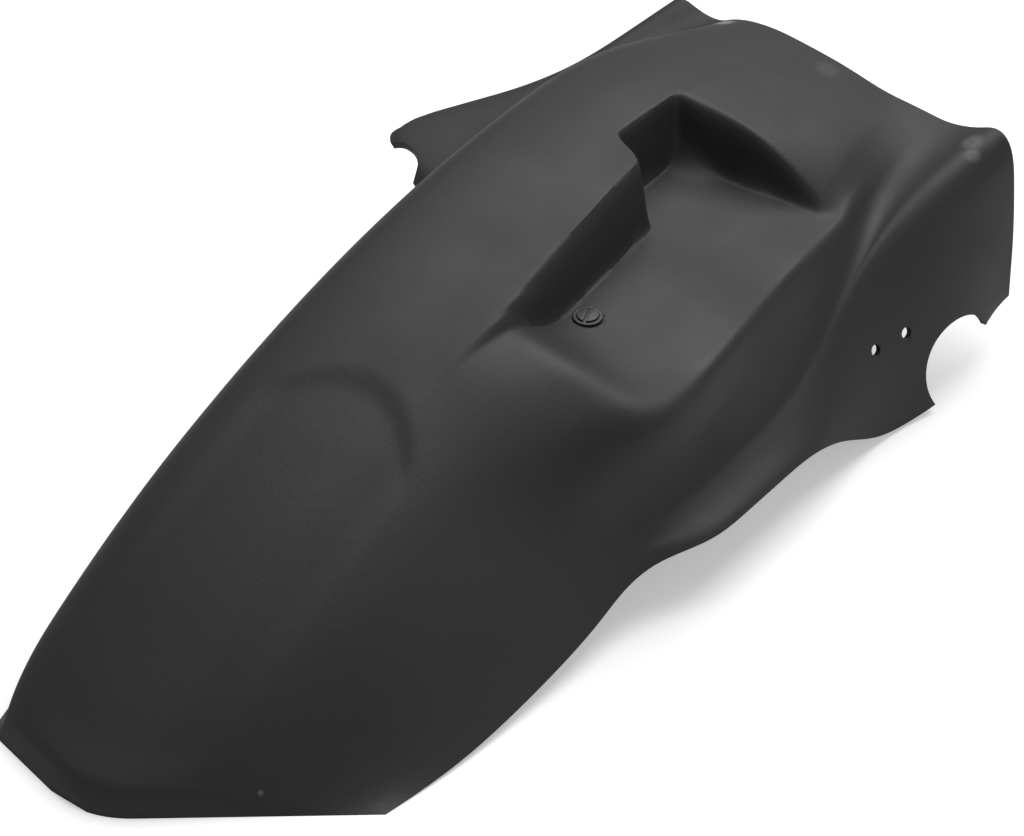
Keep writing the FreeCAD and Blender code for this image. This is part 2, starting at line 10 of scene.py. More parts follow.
import bmesh
import bpy
import numpy as np
from bmesh.types import BMesh
from bpy.types import Material, Node, NodeSocket, NodeTree, Object
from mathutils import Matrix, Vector

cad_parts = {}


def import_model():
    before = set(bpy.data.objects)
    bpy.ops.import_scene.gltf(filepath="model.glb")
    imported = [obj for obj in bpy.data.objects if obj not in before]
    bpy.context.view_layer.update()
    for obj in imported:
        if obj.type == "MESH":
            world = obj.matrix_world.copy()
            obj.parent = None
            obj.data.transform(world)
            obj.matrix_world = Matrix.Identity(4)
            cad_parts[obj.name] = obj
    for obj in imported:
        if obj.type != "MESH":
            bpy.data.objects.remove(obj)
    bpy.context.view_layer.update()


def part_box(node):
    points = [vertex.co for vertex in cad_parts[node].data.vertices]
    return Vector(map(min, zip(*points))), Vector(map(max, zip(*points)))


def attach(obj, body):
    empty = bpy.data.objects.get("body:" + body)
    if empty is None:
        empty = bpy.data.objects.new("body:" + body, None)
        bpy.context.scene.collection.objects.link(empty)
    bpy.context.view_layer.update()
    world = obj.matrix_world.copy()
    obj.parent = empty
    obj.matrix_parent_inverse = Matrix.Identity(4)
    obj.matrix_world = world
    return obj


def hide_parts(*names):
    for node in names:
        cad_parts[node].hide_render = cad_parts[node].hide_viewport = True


LOG = logging.getLogger("mudguard")
MM = 0.001
EDGE_ANGLE = 50.0
SEW_DISTANCE = 0.005
UP = Vector((0, 0, 1))

Point = tuple[float, float, float]
Stations = list[Point]


def linear(code: str) -> tuple[float, float, float, float]:
    """Turn an sRGB hex colour into linear light.

    Args:
        code: Colour such as "#2b2b2a".

    Returns:
        Red, green, blue and an alpha of 1.
    """
    shares = [int(code[i:i + 2], 16) / 255 for i in (1, 3, 5)]
    red, green, blue = (v / 12.92 if v <= 0.04045 else ((v + 0.055) / 1.055) ** 2.4 for v in shares)
    return red, green, blue, 1.0


def add(tree: NodeTree, kind: str, links: dict[Any, Any] | None = None, **settings: Any) -> Node:
    """Add a node with its settings and what feeds its inputs.

    Args:
        tree: Node tree that gets the node.
        kind: Blender's name of the node type.
        links: For each input, by name or number, an output socket or a plain value.
        **settings: Properties of the node.

    Returns:
        The new node.
    """
    node = tree.nodes.new(kind)
    for name, value in settings.items():
        setattr(node, name, value)
    for name, value in (links or {}).items():
        if isinstance(value, NodeSocket):
            tree.links.new(value, node.inputs[name])
        else:
            node.inputs[name].default_value = value
    return node


def blank_material(name: str) -> tuple[Material, NodeTree]:
    """Make a material with an empty node tree.

    Args:
        name: Name of the material.

    Returns:
        The material and its tree.
    """
    made = bpy.data.materials.new(name)
    made.use_nodes = True
    made.node_tree.nodes.clear()
    return made, made.node_tree


def blend(tree: NodeTree, share: NodeSocket, low: Any, high: Any) -> NodeSocket:
    """Mix two colours.

    Args:
        tree: Node tree that gets the mix.
        share: Share of the second colour.
        low: First colour, as a socket or a value.
        high: Second colour, as a socket or a value.

    Returns:
        The mixed colour.
    """
    return add(tree, "ShaderNodeMix", {"Factor": share, 6: low, 7: high}, data_type="RGBA").outputs[2]


class WearAndHighlights(Enum):
    """Lighter marks on the moulded shell, worn spots and painted highlights: place (x, r, z) on the form
    and radius in mm, and strength.
    """

    # Painted highlights: lighter spots on the lit crest of the right wing's rib, standing in for light.
    CREST_PAINTED_HIGHLIGHT = ((491.0, 82.5, 99.0), 7.0, 0.55)
    WING_PAINTED_HIGHLIGHT = ((484.0, 87.5, 97.5), 5.0, 0.45)
    # A paler spot on the top near the front.
    FRONT_PALE_SPOT = ((492.0, 2.5, 103.6), 8.0, 0.22)
    CORNER_WHITENING = ((495.0, -58.5, 104.0), 6.5, 1.6)
    LIP_SPECK = ((46.0, 36.4, 7.2), 2.0, 1.4)


@dataclass(frozen=True)
class GrainedAbs:
    """Moulded black ABS: a fine sand grain from the tool scatters light, so it looks matt dark grey."""

    name: str = "moulded_grained_abs"
    colour: str = "#2d2d2c"
    dark: str = "#262625"
    # Colour of the worn marks and of the painted highlights.
    scuff_and_highlight: str = "#8f8d89"
    roughness_low: float = 0.52
    roughness_high: float = 0.66
    grain_mm: float = 1.1
    pebble_mm: float = 2.6
    mottle_mm: float = 55.0
    relief: float = 0.4
    relief_mm: float = 0.12
    ior: float = 1.53

    def material(self, place_of: Callable[[float, float, float], Vector]) -> Material:
        """Build the material.

        Args:
            place_of: Turns a place on the form into metres in the row frame.

        Returns:
            A node material that reads Object coordinates.
        """
        made, tree = blank_material(self.name)
        place = add(tree, "ShaderNodeTexCoord").outputs["Object"]
        # Broad uneven tone, as a moulding that was wiped by hand shows.
        mottle = add(tree, "ShaderNodeTexNoise", {
            "Vector": place, "Scale": 1 / (self.mottle_mm * MM), "Detail": 3.0, "Roughness": 0.55})
        colour = blend(tree, mottle.outputs["Fac"], linear(self.dark), linear(self.colour))
        # Sand grain, drawn at about two pixels because the real grit is finer than a pixel.
        grain = add(tree, "ShaderNodeTexNoise", {
            "Vector": place, "Scale": 1 / (self.grain_mm * MM), "Detail": 2.0, "Roughness": 0.6})
        pebble = add(tree, "ShaderNodeTexVoronoi", {"Vector": place, "Scale": 1 / (self.pebble_mm * MM)})
        scuffs_and_highlights: NodeSocket | None = None
        # Lighter spots mixed into the colour: worn marks, and painted highlights on the lit crest of the
        # right wing's rib.
        for mark in WearAndHighlights:
            centre, radius, strength = mark.value
            reach = add(tree, "ShaderNodeVectorMath", {
                0: place, 1: place_of(*centre)}, operation="DISTANCE")
            spot = add(tree, "ShaderNodeMapRange", {
                "Value": reach.outputs["Value"], "From Min": radius * MM, "From Max": radius * MM * 0.35,
                "To Min": 0.0, "To Max": strength}, interpolation_type="SMOOTHSTEP")
            broken = add(tree, "ShaderNodeMath", {
                0: spot.outputs["Result"], 1: grain.outputs["Fac"]}, operation="MULTIPLY")
            scuffs_and_highlights = broken.outputs[0] if scuffs_and_highlights is None else add(tree, "ShaderNodeMath", {
                0: scuffs_and_highlights, 1: broken.outputs[0]}, operation="MAXIMUM").outputs[0]
        worn_and_highlit = blend(tree, scuffs_and_highlights, colour, linear(self.scuff_and_highlight))
        rough = add(tree, "ShaderNodeMapRange", {
            "Value": mottle.outputs["Fac"], "From Min": 0.3, "From Max": 0.7,
            "To Min": self.roughness_low, "To Max": self.roughness_high})
        relief = add(tree, "ShaderNodeMath", {
            0: grain.outputs["Fac"], 1: pebble.outputs["Distance"]}, operation="ADD")
        bump = add(tree, "ShaderNodeBump", {
            "Height": relief.outputs[0], "Strength": self.relief, "Distance": self.relief_mm * MM})
        shader = add(tree, "ShaderNodeBsdfPrincipled", {
            "Base Color": worn_and_highlit, "Roughness": rough.outputs["Result"], "Normal": bump.outputs["Normal"],
            "IOR": self.ior, "Specular IOR Level": 0.5})
        add(tree, "ShaderNodeOutputMaterial", {"Surface": shader.outputs["BSDF"]})
        return made


@dataclass(frozen=True)
class MouldedNylon:
    """Black moulded nylon: smoother than the shell and a little glossier, with faint flow marks."""

    name: str = "moulded_black_nylon"
    colour: str = "#2a2a29"
    light: str = "#343433"
    roughness: float = 0.46
    flow_mm: float = 3.0
    relief: float = 0.2
    relief_mm: float = 0.05
    ior: float = 1.53

    def material(self) -> Material:
        """Build the material.

        Returns:
            A node material that reads Object coordinates.
        """
        made, tree = blank_material(self.name)
        place = add(tree, "ShaderNodeTexCoord").outputs["Object"]
        flow = add(tree, "ShaderNodeTexNoise", {
            "Vector": place, "Scale": 1 / (self.flow_mm * MM), "Detail": 3.0, "Distortion": 0.6})
        tone = blend(tree, flow.outputs["Fac"], linear(self.colour), linear(self.light))
        bump = add(tree, "ShaderNodeBump", {
            "Height": flow.outputs["Fac"], "Strength": self.relief, "Distance": self.relief_mm * MM})
        shader = add(tree, "ShaderNodeBsdfPrincipled", {
            "Base Color": tone, "Roughness": self.roughness, "Normal": bump.outputs["Normal"],
            "IOR": self.ior})
        add(tree, "ShaderNodeOutputMaterial", {"Surface": shader.outputs["BSDF"]})
        return made


@dataclass(frozen=True)
class StudioPaper:
    """Matt white background paper with a very faint tooth."""

    name: str = "matt_white_paper"
    colour: str = "#f7f7f7"
    shade: str = "#f2f2f2"
    tooth_mm: float = 9.0
    roughness: float = 0.85
    lift: float = 0.4

    def material(self) -> Material:
        """Build the material.

        Returns:
            A node material that reads Object coordinates.
        """
        made, tree = blank_material(self.name)
        place = add(tree, "ShaderNodeTexCoord").outputs["Object"]
        tooth = add(tree, "ShaderNodeTexNoise", {
            "Vector": place, "Scale": 1 / (self.tooth_mm * MM), "Detail": 4.0})
        tone = blend(tree, tooth.outputs["Fac"], linear(self.colour), linear(self.shade))
        # The camera alone sees the paper a little brighter, so that it is white and still holds the shadow.
        path = add(tree, "ShaderNodeLightPath")
        lift = add(tree, "ShaderNodeMath", {
            0: path.outputs["Is Camera Ray"], 1: self.lift}, operation="MULTIPLY")
        shader = add(tree, "ShaderNodeBsdfPrincipled", {
            "Base Color": tone, "Roughness": self.roughness, "Specular IOR Level": 0.2,
            "Emission Color": linear("#ffffff"), "Emission Strength": lift.outputs[0]})
        add(tree, "ShaderNodeOutputMaterial", {"Surface": shader.outputs["BSDF"]})
        return made


def soft_min(a: float, b: float, blend: float) -> float:
    """Return the lower of two heights with a rounded change from one to the other."""
    gap = max(blend - abs(a - b), 0.0) / blend
    return min(a, b) - gap * gap * blend / 4


def soft_max(a: float, b: float, blend: float) -> float:
    """Return the higher of two heights with a rounded change from one to the other."""
    return -soft_min(-a, -b, blend)


def ease(t: float) -> float:
    """Return a smooth step from 0 to 1 for t from 0 to 1."""
    t = min(max(t, 0.0), 1.0)
    return t * t * (3 - 2 * t)


def spread(a: float, b: float, count: int) -> list[float]:
    """Return count even steps that end at b, the start a left out."""
    return [a + (b - a) * (i + 1) / count for i in range(count)]


class Guide:
    """A guide curve along the shell through stations (x, r, z) that never overshoots them."""

    def __init__(self, stations: Sequence[Point], step_x: float) -> None:
        """Keep the stations and their slopes.

        Args:
            stations: Points (x, r, z) in millimetres.
            step_x: Place of the step in the right skirt, where the count along the shell is 1.
        """
        self.step_x = step_x
        self.x, self.r, self.z = (list(v) for v in zip(*sorted(stations)))
        self.slope_r = self.slopes(self.r)
        self.slope_z = self.slopes(self.z)

    def slopes(self, ys: Sequence[float]) -> list[float]:
        """Return the slope of the curve at each station.

        Args:
            ys: Values at the stations.

        Returns:
            One slope per station, zero at a peak.
        """
        steps = [(b - a) / (q - p) for a, b, p, q in zip(ys, ys[1:], self.x, self.x[1:])]
        inner = [0.0 if a * b <= 0 else 2 * a * b / (a + b) for a, b in zip(steps, steps[1:])]
        return [steps[0]] + inner + [steps[-1]]

    def value(self, ys: Sequence[float], ms: Sequence[float], x: float) -> float:
        """Return the cubic through the stations at x.

        Args:
            ys: Values at the stations.
            ms: Slopes at the stations.
            x: Place along the shell.

        Returns:
            The value there.
        """
        i = 0
        while i < len(self.x) - 2 and x > self.x[i + 1]:
            i += 1
        h = self.x[i + 1] - self.x[i]
        t = (x - self.x[i]) / h
        rise = ys[i] * (1 + 2 * t) * (1 - t) ** 2 + ys[i + 1] * t * t * (3 - 2 * t)
        return rise + h * (ms[i] * t * (1 - t) ** 2 - ms[i + 1] * t * t * (1 - t))

    def height(self, x: float) -> float:
        """Return the guide's height at x."""
        return self.value(self.z, self.slope_z, x)

    def at(self, s: float) -> Point:
        """Return the point (x, r, z) at s: 0 at the tail, 1 at the step, 2 at the front."""
        start, end = (self.x[0], self.step_x) if s < 1 else (self.step_x, self.x[-1])
        x = start + (s if s < 1 else s - 1) * (end - start)
        return x, self.value(self.r, self.slope_r, x), self.height(x)


class ArchGuide(Guide):
    """A guide curve whose stations give the drop below the arch in place of the height."""

    def __init__(self, stations: Sequence[Point], step_x: float, crown: Callable[[float], float]) -> None:
        """Keep the stations and the arch.

        Args:
            stations: Points (x, r, drop) in millimetres.
            step_x: Place of the step in the right skirt.
            crown: Height of the arch at x.
        """
        super().__init__(stations, step_x)
        self.crown = crown

    def height(self, x: float) -> float:
        """Return the guide's height at x."""
        return self.crown(x) - self.value(self.z, self.slope_z, x)


@dataclass
class ShellForm:
    """The moulded form in millimetres: X forward from the tail, R to the right, Z up from the floor."""

    wall: float = 3.0
    arch_radius: float = 640.0
    arch_peak_x: float = 362.0
    arch_peak_z: float = 121.0
    front_x: float = 502.0
    low_x: float = 60.0
    haunch_x: float = 120.0
    skirt_end_x: float = 205.0
    step_length: float = 35.0
    corner_length: float = 25.0
    half_width: float = 94.0
    shoulder_drop: float = 8.0
    skirt_lean: float = 9.0
    skirt_tuck: float = 10.0
    haunch_tuck: float = 6.0
    left_foot_x: float = 310.0
    top_r: float = 60.0
    front_shoulder_r: float = 55.0
    front_shoulder_drop: float = 3.0
    front_top_r: float = 36.0
    rim_front_drop: float = 1.5
    foot_front_drop: float = 4.0
    tail_point_r: float = -16.0
    tail_point_x: float = -5.5
    tail_left_x: float = 9.0
    tail_left_r: float = -80.0
    tail_right_x: float = 73.0
    tail_right_r: float = 80.0
    tail_lip: float = 10.0
    tail_lip_roll: float = 4.0
    tail_lip_end: float = 1.0
    tail_corner: float = 8.0
    ridge_low_r: float = 13.0
    ridge_low_drop: float = 9.0
    ridge_haunch_r: float = 5.0
    ridge_haunch_drop: float = 6.0
    ridge_end_r: float = 2.0
    ridge_end_drop: float = 2.0
    slope_fullness: float = 1.6
    haunch_edge_r: float = 87.0
    haunch_edge_z: float = 2.0
    skirt_end_r: float = 89.0
    skirt_end_z: float = 14.0
    upper_r: float = 47.0
    upper_drop: float = 11.0
    upper_front_r: float = 28.0
    upper_front_drop: float = 9.0
    shoulder_rear_r: float = 85.0
    shoulder_rear_z: float = 88.0
    shoulder_r: float = 67.0
    shoulder_z: float = 91.0
    shoulder_front_r: float = 44.0
    shoulder_front_z: float = 96.0
    step_r: float = 88.0
    step_z: float = 27.0
    flange_r: float = 105.0
    flange_z: float = 28.0
    flange_bend: float = 13.0
    flange_rise: float = 5.0
    valley_r: float = 81.0
    valley_z: float = 40.0
    valley_rise: float = 4.0
    wing_x: float = 345.0
    rib_x: float = 416.0
    rib_valley_r: float = 73.0
    rib_valley_z: float = 75.0
    rib_r: float = 80.0
    rib_z: float = 78.0
    rib_mid: float = 42.0
    rib_mid_valley_r: float = 64.0
    rib_mid_valley_z: float = 85.0
    rib_mid_r: float = 86.0
    rib_mid_z: float = 97.0
    dip_r: float = 69.0
    dip_z: float = 94.0
    crest_r: float = 97.0
    crest_z: float = 108.0
    face_r: float = 104.0
    face_z: float = 60.0
    face_rear_r: float = 98.0
    face_rear_z: float = 38.0
    lip_x: float = 398.0
    lip_r: float = 107.0
    lip_tip: float = 44.0
    lip_tip_r: float = 119.0
    lip_tip_z: float = 8.0
    wing_foot_r: float = 111.0
    wing_foot_z: float = 26.0
    wing_foot_back: float = 14.0
    wing_foot_length: float = 18.0
    flap_z: float = 62.0
    flap_rise: float = 38.0
    flap_root_r: float = 106.0
    tab_lead: float = 30.0
    tab_r: float = 190.0
    tab_length: float = 13.0
    flap_r: float = 145.0
    flap_length: float = 65.0
    flap_end_r: float = 122.0
    flap_band: float = 20.0
    flap_valley_r: float = 96.0
    flap_valley_rise: float = 8.0
    flap_crest_r: float = 114.0
    flap_crest_z: float = 82.0
    left_crest_r: float = 96.0
    left_crest_z: float = 104.0
    left_front_r: float = 106.0
    left_front_z: float = 45.0
    pocket_floor_z: float = 88.0
    pocket_rear_x: float = 279.0
    pocket_rear_skew: float = 0.18
    pocket_front_x: float = 413.0
    pocket_front_skew: float = 0.12
    pocket_left_r: float = -3.0
    pocket_left_slant: float = 0.1
    pocket_jog_r: float = -23.0
    pocket_jog_x: float = 368.0
    pocket_jog_length: float = 12.0
    pocket_wall_slope: float = 5.0
    pocket_rear_slope: float = 0.66
    pocket_rim_blend: float = 5.0
    pocket_foot_blend: float = 2.0
    pocket_rim: float = 9.0
    flat_depth: float = 2.0
    flat_front_x: float = 199.0
    flat_aside: float = 8.0
    flat_half: float = 45.0
    flat_ramp: float = 12.0
    flat_arch: float = 30.0
    flat_edge: float = 14.0
    tail_rows: tuple[float, ...] = (0.0, 0.015, 0.04)
    skirt_rows: int = 5
    front_rows: int = 10
    pocket_guides: tuple[float, ...] = (4, 8.5)
    guides: list[Guide] = field(init=False)

    def __post_init__(self) -> None:
        """Work out the guide curves from left to right."""
        self.step_x = self.skirt_end_x + self.step_length
        self.guides = self.left_guides() + self.top_guides() + self.right_guides()

    def crown(self, x: float) -> float:
        """Return the height of the arch at x."""
        reach = x - self.arch_peak_x
        return self.arch_peak_z - self.arch_radius + math.sqrt(self.arch_radius ** 2 - reach ** 2)

    def tail_x(self, r: float) -> float:
        """Return where the tail's edge lies at r."""
        left = r < self.tail_point_r
        end_x = self.tail_left_x if left else self.tail_right_x
        end_r = self.tail_left_r if left else self.tail_right_r
        share = (r - self.tail_point_r) / (end_r - self.tail_point_r)
        return self.tail_point_x + (end_x - self.tail_point_x) * share

    def tail_lip_height(self, r: float) -> float:
        """Return the height of the lip along the tail's edge, which runs out at its two ends."""
        share = (r - self.tail_point_r) / (self.tail_right_r - self.tail_point_r)
        corner = min((r - self.tail_left_r) / self.tail_corner, 1.0)
        return (self.tail_lip_end + self.tail_lip * (1 - ease(share))) * corner

    def on_tail(self, share: float) -> float:
        """Return the R at a share of the tail's width, from its left corner to its right."""
        return self.tail_left_r + share * (self.tail_right_r - self.tail_left_r)

    def guide(self, *stations: Point) -> Guide:
        """Return a guide through stations that give heights."""
        return Guide(stations, self.step_x)

    def from_tail(self, r: float, *stations: Point) -> Guide:
        """Return a guide that starts with the rolled lip on the tail's edge at r."""
        x = self.tail_x(r)
        return self.guide((x, r, 0.0), (x + self.tail_lip_roll, r, self.tail_lip_height(r)), *stations)

    def arch_from_tail(self, r: float, *stations: Point) -> Guide:
        """Return an arch guide that starts with the rolled lip on the tail's edge at r."""
        x = self.tail_x(r)
        inner = x + self.tail_lip_roll
        lip = self.crown(inner) - self.tail_lip_height(r)
        return ArchGuide([(x, r, self.crown(x)), (inner, r, lip), *stations], self.step_x, self.crown)

    def left_skirt(self, share: float) -> Stations:
        """Return the stations on the left skirt, share 0 at its foot and 1 at the shoulder."""
        stations = []
        tucks = ((self.low_x, self.skirt_tuck), (self.haunch_x, self.haunch_tuck), (self.left_foot_x, 0.0))
        for x, tuck in tucks:
            r = self.half_width + self.skirt_lean * (1 - share) - tuck
            stations.append((x, -r, share * (self.crown(x) - self.shoulder_drop)))
        return stations

    def right_slope(self, share: float) -> Stations:
        """Return the stations on the broad slope right of the flat, share 1 at the skirt's edge."""
        haunch_ridge = (self.haunch_x, self.ridge_haunch_r, self.ridge_haunch_drop)
        end_ridge = (self.skirt_end_x, self.ridge_end_r, self.ridge_end_drop)
        slopes = (
            (*haunch_ridge, self.haunch_edge_r, self.haunch_edge_z),
            (*end_ridge, self.skirt_end_r, self.skirt_end_z))
        stations = []
        for x, top_r, sink, foot_r, foot_z in slopes:
            fall = (self.crown(x) - sink - foot_z) * (1 - share ** self.slope_fullness)
            stations.append((x, top_r + share * (foot_r - top_r), foot_z + fall))
        return stations

    def left_guides(self) -> list[Guide]:
        """Return the guide curves of the left skirt and wing, from the edge to the shoulder."""
        flap_x = self.left_foot_x + self.flap_rise
        tab_x = flap_x + self.tab_lead
        end_x = tab_x + self.flap_length
        edge = self.guide(
            (self.tail_left_x, self.tail_left_r, 0.0), *self.left_skirt(0.0),
            (flap_x, -self.flap_root_r, self.flap_z),
            (tab_x, -self.tab_r, self.flap_z), (tab_x + self.tab_length, -self.flap_r, self.flap_z),
            (end_x, -self.flap_end_r, self.flap_z),
            (self.front_x, -self.left_front_r, self.left_front_z))
        roll = self.from_tail(
            self.on_tail(0.012), *self.left_skirt(0.2),
            (flap_x, -self.flap_root_r + self.wall, self.flap_z + self.wall),
            (tab_x, -self.tab_r + self.flap_band, self.flap_z + self.wall),
            (end_x, -self.flap_crest_r, self.flap_crest_z),
            (self.front_x, -self.left_crest_r, self.left_crest_z))
        valley = self.from_tail(
            self.on_tail(0.027), *self.left_skirt(0.55),
            (tab_x, -self.flap_valley_r, self.flap_z + self.flap_valley_rise),
            (end_x, -self.half_width, self.flap_crest_z), (self.front_x, -self.dip_r, self.dip_z))
        shoulder = self.arch_from_tail(
            self.on_tail(0.04), (self.low_x / 2, -self.half_width + self.skirt_tuck, self.shoulder_drop),
            (self.low_x, -self.half_width + self.skirt_tuck, self.shoulder_drop),
            (self.haunch_x, -self.half_width + self.haunch_tuck, self.shoulder_drop),
            (self.pocket_front_x, -self.half_width, self.shoulder_drop),
            (self.front_x, -self.front_shoulder_r, self.front_shoulder_drop))
        return [edge, roll, valley, shoulder]

    def top_guides(self) -> list[Guide]:
        """Return the guide curves of the top: its left part, the pocket's rim and foot,
        and its right part."""
        jog_start = self.pocket_jog_x - self.pocket_jog_length / 2
        jog_end = self.pocket_jog_x + self.pocket_jog_length / 2
        wall_end = self.pocket_front_x + self.pocket_rim
        rear_r = self.pocket_left_r + self.pocket_left_slant * (self.pocket_jog_x - self.pocket_rear_x)
        left = self.arch_from_tail(
            self.on_tail(0.14), (self.low_x, -self.top_r, 0.0), (self.pocket_front_x, -self.top_r, 0.0),
            (self.front_x, -self.front_top_r, 0.0))
        rim = self.arch_from_tail(
            self.tail_point_r, (self.low_x, self.tail_point_r, 0.0),
            (self.skirt_end_x, self.tail_point_r, 0.0),
            (self.pocket_rear_x, rear_r - self.pocket_rim, 0.0),
            (jog_start, self.pocket_left_r - self.pocket_rim, 0.0),
            (jog_end, self.pocket_jog_r - self.pocket_rim, 0.0),
            (wall_end, self.pocket_jog_r - self.pocket_rim, 0.0),
            (self.front_x, self.tail_point_r, self.rim_front_drop))
        foot = self.arch_from_tail(
            self.on_tail(0.61), (self.low_x, self.ridge_low_r, self.ridge_low_drop),
            (self.haunch_x, self.ridge_haunch_r, self.ridge_haunch_drop),
            (self.skirt_end_x, self.ridge_end_r, self.ridge_end_drop), (self.pocket_rear_x, rear_r, 0.0),
            (jog_start, self.pocket_left_r, 0.0), (jog_end, self.pocket_jog_r, 0.0),
            (wall_end, self.pocket_jog_r, 0.0),
            (self.front_x, self.ridge_haunch_r, self.foot_front_drop))
        upper = self.arch_from_tail(
            self.on_tail(0.73), *((x, r, self.crown(x) - z) for x, r, z in self.right_slope(0.3)),
            (self.pocket_rear_x, self.upper_r, self.upper_drop),
            (self.pocket_jog_x, self.upper_r, self.upper_drop),
            (self.front_x, self.upper_front_r, self.upper_front_drop))
        return [left, rim, foot, upper]

    def right_guides(self) -> list[Guide]:
        """Return the guide curves of the right shoulder, valley, flange and wing, out to the edge."""
        corner_x = self.step_x + self.corner_length
        middle_x = self.rib_x + self.rib_mid
        flange_r = self.flange_r - self.flange_bend
        shoulder = self.from_tail(
            self.on_tail(0.82), *self.right_slope(0.55),
            (corner_x, self.shoulder_rear_r, self.shoulder_rear_z),
            (self.pocket_jog_x, self.shoulder_r, self.shoulder_z),
            (self.front_x, self.shoulder_front_r, self.shoulder_front_z))
        valley = self.from_tail(
            self.on_tail(0.9), *self.right_slope(0.75), (corner_x, self.valley_r, self.valley_z),
            (self.wing_x, self.valley_r, self.valley_z + self.valley_rise),
            (self.rib_x, self.rib_valley_r, self.rib_valley_z),
            (middle_x, self.rib_mid_valley_r, self.rib_mid_valley_z),
            (self.front_x, self.dip_r, self.dip_z))
        crest = self.from_tail(
            self.on_tail(0.95), *self.right_slope(0.87),
            (self.step_x, self.step_r - 2 * self.wall, self.step_z + 2 * self.wall),
            (corner_x, flange_r, self.flange_z + self.flange_rise),
            (self.wing_x, flange_r, self.flange_z + 2 * self.flange_rise),
            (self.rib_x, self.rib_r, self.rib_z), (middle_x, self.rib_mid_r, self.rib_mid_z),
            (self.front_x, self.crest_r, self.crest_z))
        face = self.from_tail(
            self.on_tail(0.98), *self.right_slope(0.95),
            (self.step_x, self.step_r - self.wall, self.step_z + self.wall),
            (corner_x, self.flange_r - self.wall, self.flange_z + self.wall),
            (self.wing_x, self.flange_r - self.wall, self.flange_z + self.wall),
            (self.lip_x, self.face_rear_r, self.face_rear_z),
            (middle_x, self.face_r, self.face_z), (self.front_x - self.wall, self.face_r, self.face_z))
        foot_x = self.front_x - self.wing_foot_back
        edge = self.guide(
            (self.tail_right_x, self.tail_right_r, 0.0), *self.right_slope(1.0),
            (self.step_x, self.step_r, self.step_z),
            (corner_x, self.flange_r, self.flange_z), (self.wing_x, self.flange_r, self.flange_z),
            (self.lip_x, self.lip_r, 0.0),
            (self.lip_x + self.lip_tip, self.lip_tip_r, self.lip_tip_z),
            (foot_x - self.wing_foot_length, self.wing_foot_r, self.wing_foot_z),
            (foot_x, self.wing_foot_r, self.wing_foot_z))
        return [shoulder, valley, crest, face, edge]

    def knots(self, fine: bool) -> list[float]:
        """Return the knots of an edge along the shell.

        Args:
            fine: True where the edge crosses the pocket and is close at its walls.

        Returns:
            Places from 0 at the tail to 2 at the front.
        """
        marks = spread(self.step_x, self.front_x, self.front_rows)
        if fine:
            wall = (self.arch_peak_z - self.pocket_floor_z) / self.pocket_wall_slope
            jog = [self.pocket_jog_x + self.pocket_jog_length * i / 2 for i in (-1.5, -0.5, 0.5, 1.5)]
            front = [self.pocket_front_x + wall * i for i in (-0.5, 0.5, 1.5)]
            rear = self.pocket_rear_x
            marks = spread(self.step_x, rear, 3) + spread(rear, jog[0], 2) + jog[1:]
            marks += front + spread(front[-1], self.front_x, 2)
            marks += [(a + b) / 2 for a, b in zip(marks, marks[1:]) if a >= rear and b <= front[-1]]
        ahead = [1 + (x - self.step_x) / (self.front_x - self.step_x) for x in sorted(marks)]
        return list(self.tail_rows) + spread(self.tail_rows[-1], 1.0, self.skirt_rows) + ahead

    def pocket_wall(self, x: float) -> float:
        """Return the R of the foot of the pocket's left wall at x, which jogs left towards the front."""
        jog = ease((x - self.pocket_jog_x + self.pocket_jog_length / 2) / self.pocket_jog_length)
        rear_r = self.pocket_left_r + self.pocket_left_slant * (self.pocket_jog_x - x)
        return rear_r + (self.pocket_jog_r - rear_r) * jog

    def pocket_height(self, x: float, r: float) -> float:
        """Return the height of the pocket's floor or of the wall that rises from it."""
        left = self.pocket_wall_slope * (self.pocket_wall(x) - r)
        front = self.pocket_wall_slope * (x - self.pocket_front_x - self.pocket_front_skew * r)
        rear = self.pocket_rear_slope * (self.pocket_rear_x - self.pocket_rear_skew * r - x)
        rise = soft_max(soft_max(left, front, self.pocket_foot_blend), rear, self.pocket_foot_blend)
        return self.pocket_floor_z + soft_max(rise, 0.0, self.pocket_foot_blend)

    def flat_sink(self, x: float, r: float) -> float:
        """Return how far the shallow flat on the tail lies below the arch."""
        aside = abs(r - self.tail_point_r + self.flat_aside)
        front_x = self.flat_front_x - self.flat_arch * (aside / self.flat_half) ** 2
        along = ease((front_x - x) / self.flat_ramp)
        across = ease((self.flat_half - aside) / self.flat_edge)
        return self.flat_depth * along * across

    def pressed(self, x: float, r: float, z: float) -> float:
        """Return the height of the top with the pocket pressed into it."""
        if z > self.pocket_floor_z - self.pocket_rim_blend:
            z = soft_min(z, self.pocket_height(x, r), self.pocket_rim_blend)
        return z

    def weights(self, w: float) -> list[tuple[int, float]]:
        """Return (guide, weight) pairs of a quadratic spline across, at w guides from the left."""
        last = len(self.guides) - 1
        if w <= 0.5 or w >= last - 0.5:
            i = 0 if w <= 0.5 else last - 1
            return [(i, 1 - (w - i)), (i + 1, w - i)]
        i = min(max(int(w + 0.5), 1), last - 1)
        t = w - i
        return [(i - 1, (0.5 - t) ** 2 / 2), (i, 0.75 - t * t), (i + 1, (0.5 + t) ** 2 / 2)]

    def point(self, s: float, w: float) -> Point:
        """Return the point (x, r, z) at s from tail to front and w guides in from the left edge."""
        parts = [(self.guides[i].at(s), share) for i, share in self.weights(w)]
        x, r, z = (sum(p[axis] * share for p, share in parts) for axis in range(3))
        return x, r, self.pressed(x, r, z)

